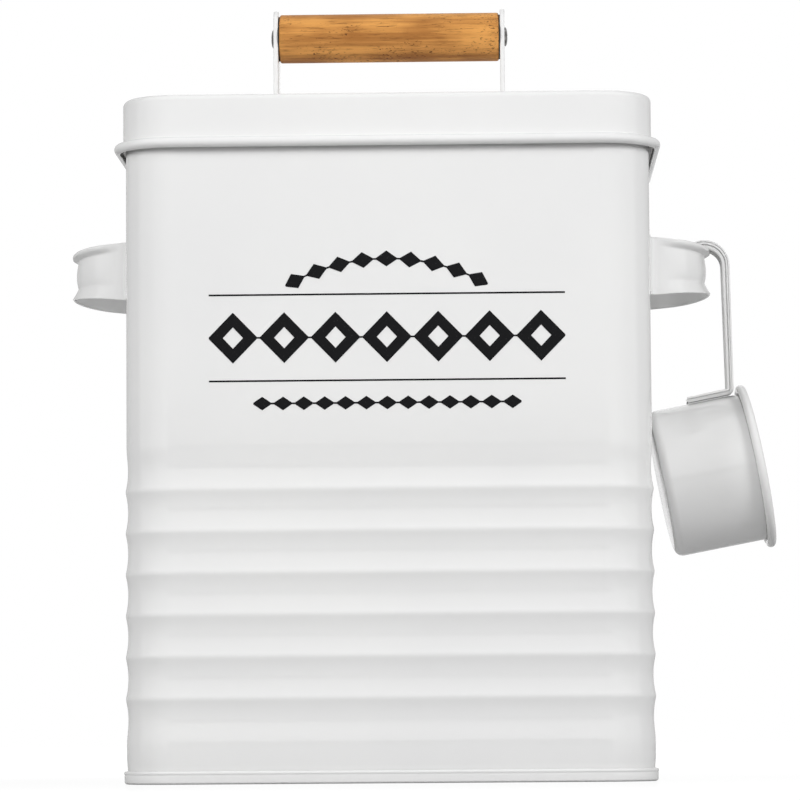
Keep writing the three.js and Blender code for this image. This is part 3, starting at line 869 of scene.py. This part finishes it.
handle_low, handle_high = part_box("side_handle_right")
flange_top = (handle_low[2] + handle_high[2]) / 2 + HANDLE_WAIST / 2
drop = math.sqrt((HOOK_RADIUS - HOOK_TOP_DEPTH) ** 2 - HOOK_PAST_TIP**2)
hook_centre = Vector((handle_high[0] - HOOK_PAST_TIP, flange_top + SEAM_GAP - drop))
cup_axis = Vector((math.cos(SCOOP_TILT), math.sin(SCOOP_TILT)))
cup_up = Vector((-cup_axis.y, cup_axis.x))
cup_lean = SCOOP_CORNER - (SCOOP_CORNER * cup_axis.x + (SCOOP_RADIUS - SCOOP_CORNER) * cup_up.x)
cup_base = Vector((HALF_WIDTH + SEAM_GAP + cup_lean, hook_centre.y - SCOOP_DROP))
print("scoop hangs from", hook_centre, "and its base is at", cup_base)


def by_cup(along, out):
    return cup_base + cup_axis * along + cup_up * out


# %% Cup
def make_cup():
    rim = SCOOP_DEPTH - SCOOP_WIRE
    inner = SCOOP_RADIUS - SCOOP_SHEET
    flat = SCOOP_RADIUS - SCOOP_CORNER
    outline = [(0, 0)] + arc(flat, SCOOP_CORNER, SCOOP_CORNER, SCOOP_CORNER, -90, 0, 10)
    outline += [(SCOOP_RADIUS, rim - 0.25 * SCOOP_WIRE)]
    outline += [(SCOOP_RADIUS + 0.2 * MM, rim - 0.25 * SCOOP_WIRE)]
    outline += arc(SCOOP_RADIUS + SCOOP_WIRE, rim, SCOOP_WIRE, SCOOP_WIRE, -148, 150, 24)
    outline += [(inner, rim + 0.4 * SCOOP_WIRE)]
    round_in = SCOOP_CORNER - SCOOP_SHEET
    outline += arc(flat, SCOOP_CORNER, round_in, round_in, 0, -90, 10) + [(0, SCOOP_SHEET)]
    mesh = turned("scoop_bowl", outline, CUP_STEPS)
    for v in mesh.vertices:
        x, y, z = v.co
        spot = by_cup(z, x)
        v.co = Vector((spot.x, y, spot.y))
    piece = add_piece("scoop_bowl", mesh, enamel, "container")
    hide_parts("scoop_cup")


make_cup()

# %% [markdown]
# The rolled rim doesn't close on the wall. A ring of dark steel, less than half a millimetre
# wide, fills the bottom of the crease under it and shows as a line. It is painted shade.

# %% A dark ring under the cup's rim, as painted shade
def make_painted_shade_rim():
    rim = SCOOP_DEPTH - SCOOP_WIRE
    section = [(0.03 * MM, -0.95), (0.03 * MM, -0.3), (0.18 * MM, -0.3), (0.36 * MM, -0.62)]
    rings = []
    for out, wires in section:
        radius = SCOOP_RADIUS + out
        ring = []
        for i in range(CUP_STEPS):
            angle = 2 * math.pi * i / CUP_STEPS
            spot = by_cup(rim + wires * SCOOP_WIRE, radius * math.cos(angle))
            ring.append(Vector((spot.x, radius * math.sin(angle), spot.y)))
        rings.append(ring)
    # This dark ring paints the shade in the crease under the cup's rim.
    add_piece("painted_shade_rim", mesh_of("painted_shade_rim", rings, True), steel_and_painted_shade, "container")


make_painted_shade_rim()


# %% Hook
def touch_point(start, centre, radius):
    away = centre - start
    turn = math.asin(radius / away.length)
    length = math.sqrt(away.length**2 - radius**2)
    c, s = math.cos(-turn), math.sin(-turn)
    way = Vector((away.x * c - away.y * s, away.x * s + away.y * c)).normalized()
    return start + way * length


def hook_path():
    beside = by_cup(SCOOP_DEPTH - 2 * SCOOP_WIRE, SCOOP_RADIUS + 2 * SCOOP_WIRE)
    beside.x -= 2 * SEAM_GAP
    touch = touch_point(beside, hook_centre, HOOK_RADIUS)
    rise = (touch - beside).normalized()
    start = by_cup(SCOOP_DEPTH - SCOOP_WIRE - HOOK_FOOT, SCOOP_RADIUS + SEAM_GAP)
    reach = beside - start
    along = reach.cross(rise) / cup_axis.cross(rise)
    corner = start + cup_axis * along
    back = HOOK_BEND * math.tan(math.acos(cup_axis.dot(rise)) / 2)
    points = [start + (corner - start) * (0.85 * i / 12) * (1 - back / along) for i in range(12)]
    first, last = corner - cup_axis * back, corner + rise * back
    for i in range(15):
        t = i / 14
        points.append(first * (1 - t) ** 2 + corner * 2 * t * (1 - t) + last * t * t)
    points += [last + (touch - last) * i / 16 for i in range(1, 16)]
    angle = math.atan2(touch.y - hook_centre.y, touch.x - hook_centre.x)
    for i in range(49):
        a = angle + (math.pi - angle) * i / 48
        points.append(hook_centre + Vector((math.cos(a), math.sin(a))) * HOOK_RADIUS)
    points += [hook_centre + Vector((-HOOK_RADIUS, -HOOK_LEG * i / 4)) for i in range(1, 5)]
    return points


def hook_section(along):
    depth = HOOK_FOOT_DEPTH + (HOOK_TOP_DEPTH - HOOK_FOOT_DEPTH) * min(1, along * 1.6)
    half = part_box("scoop_hook")[1][1]
    t = HOOK_SHEET
    slot = 0.55 * depth
    side = [(0, half - 1.6 * MM)]
    side += arc(-0.8 * MM, half - 0.8 * MM, 0.8 * MM, 0.8 * MM, 80, 0, 5)
    side += [(0.45 * MM - slot, half - 0.05 * MM), (0.22 * MM - slot, half - 0.3 * MM)]
    side += [(0.18 * MM - slot, half - 1.2 * MM), (-0.18 * MM - slot, half - 1.2 * MM)]
    side += [(-0.22 * MM - slot, half - 0.4 * MM), (-0.5 * MM - slot, half - 0.15 * MM)]
    side += [(0.35 * MM - depth, half - 0.2 * MM), (-depth, half - 0.5 * MM)]
    side += [(0.1 * MM - depth, half - 1.4 * MM), (-slot, half - 1.6 * MM), (-t, half - 1.9 * MM)]
    return side + [(n, -v) for n, v in reversed(side)]


def make_hook():
    rings = sweep(hook_path(), hook_section, lambda x, z, v: Vector((x, v, z)))
    mesh = mesh_of("scoop_strip", rings, False)
    piece = add_piece("scoop_strip", mesh, enamel, "container")
    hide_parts("scoop_hook")


make_hook()

# %% [markdown]
# ## The print
#
# The print's rules and lozenges are thin solids on the flat front wall. Their shapes are
# right as they are, so each keeps its mesh and gets the black enamel.

# %% Print
PRINTED = ("rule_upper", "rule_lower", "lozenge_band", "lozenge_arch", "lozenge_row")
for shape in PRINTED:
    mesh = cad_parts["print_" + shape].data
    mesh.materials.clear()
    mesh.materials.append(print_black)
print("print nodes finished:", len(PRINTED))

# %% [markdown]
# ## Floor, backdrop and light
#
# The tin stands on a white floor in front of a white backdrop. The floor glows a little for
# the camera, so that it reads as white while it still keeps the tin's shadow.

# %% Floor
def make_floor():
    mesh = bpy.data.meshes.new("floor")
    size = 3.0
    corners = [(-size, -size, 0), (size, -size, 0), (size, size, 0), (-size, size, 0)]
    mesh.from_pydata(corners, [], [(0, 1, 2, 3)])
    floor = bpy.data.objects.new("floor", mesh)
    bpy.context.collection.objects.link(floor)
    material = bpy.data.materials.new("white_floor")
    material.use_nodes = True
    finish = Finish(material.node_tree)
    looks = {"Base Color": (0.45, 0.45, 0.45, 1), "Roughness": 0.2, "Specular IOR Level": 0.5}
    plain = finish.node("ShaderNodeBsdfPrincipled", {}, looks)
    glow = finish.node("ShaderNodeEmission", {}, {"Color": (1, 1, 1, 1), "Strength": 1.06})
    length = {"operation": "LENGTH"}
    away = finish.node("ShaderNodeVectorMath", length, {0: finish.place()}, output=1)
    share = 0.80 + away.between(0.12, 0.45) * 0.20
    seen = finish.node("ShaderNodeLightPath", output="Is Camera Ray")
    mixed = finish.node("ShaderNodeMixShader", {}, {0: seen * share, 1: plain, 2: glow})
    finish.node("ShaderNodeOutputMaterial", {}, {"Surface": mixed})
    mesh.materials.append(material)


make_floor()

# %% [markdown]
# The world says what lies all round the tin, and it answers each kind of ray by itself. The
# camera sees plain white. A ray that lights the surface meets a low, even glow. A reflected
# ray meets a studio: a bright panel above the height of the camera and a dim one below it,
# bright panels at both sides, and a white backdrop with dim edges. The step between the two
# front panels is what draws a crisp line along each rib.

# %% World
LIGHT_LEVEL = 0.28
SIDE_LEVEL = 0.36
CARD_LEVEL = 0.55
LOW_LEVEL = 0.35
BOX_LEVEL = 1.45
SIDE_BOX = 1.4


def make_world():
    world = bpy.data.worlds.new("studio")
    bpy.context.scene.world = world
    world.use_nodes = True
    finish = Finish(world.node_tree)
    way = finish.node("ShaderNodeTexCoord", output="Generated")
    split = "ShaderNodeSeparateXYZ"
    right, back, up = [finish.node(split, {}, {0: way}, output=axis) for axis in range(3)]
    sideways = abs(right)
    level = LIGHT_LEVEL - sideways.between(0.35, 0.95) * (LIGHT_LEVEL - SIDE_LEVEL)
    camera_ray = finish.node("ShaderNodeLightPath", output="Is Camera Ray")
    glossy_ray = finish.node("ShaderNodeLightPath", output="Is Glossy Ray")
    through = finish.node("ShaderNodeLightPath", output="Is Transmission Ray")
    backdrop = 1.0 - sideways.between(0.04, 0.2) * (1.0 - CARD_LEVEL)
    front = 1.0 - back.between(-0.12, 0.12)
    box = LOW_LEVEL + up.between(0.04, 0.09) * (BOX_LEVEL - LOW_LEVEL)
    beside = sideways.between(0.24, 0.34)
    box = box + beside * (up.between(-0.15, 0.0) * SIDE_BOX - box)
    shine = backdrop + front * (box - backdrop)
    lit = level * (1.0 - glossy_ray) + shine * glossy_ray
    white = camera_ray.sum("MAXIMUM", through)
    strength = lit * (1.0 - white) + white
    inputs = {"Color": (1, 1, 1, 1), "Strength": strength}
    light = finish.node("ShaderNodeBackground", {}, inputs)
    finish.node("ShaderNodeOutputWorld", {}, {"Surface": light})
    print("the world's even glow:", LIGHT_LEVEL)


make_world()

# %% [markdown]
# Five square lamps do most of the lighting, from in front, both sides, above and behind. They
# stand high, so the bead throws a shadow on the body and each rib has a bright and a dark
# slope. Reflections don't show them, because the world already has the panels for that.

# %% Lamps
def make_lamp(name, place, aim, size, power):
    data = bpy.data.lights.new(name, "AREA")
    data.size = size
    data.energy = power
    lamp = bpy.data.objects.new(name, data)
    lamp.location = place
    lamp.rotation_euler = (Vector(aim) - Vector(place)).to_track_quat("-Z", "Y").to_euler()
    lamp.visible_glossy = False
    bpy.context.collection.objects.link(lamp)
    print(name, "watts:", power)


make_lamp("front_softbox", (0.1, -2.3, 1.4), (0, 0, 0.12), 0.6, 10)
make_lamp("left_softbox", (-1.9, -1.5, 1.2), (0, 0, 0.12), 0.9, 26)
make_lamp("right_softbox", (1.9, -1.5, 1.2), (0, 0, 0.12), 0.9, 31)
make_lamp("top_softbox", (0, 0.3, 2.0), (0, 0, 0.2), 0.8, 2)
make_lamp("back_softbox", (-0.4, 2.3, 1.1), (0, 0, 0.12), 0.9, 16)

bpy.context.scene.view_settings.view_transform = "Standard"
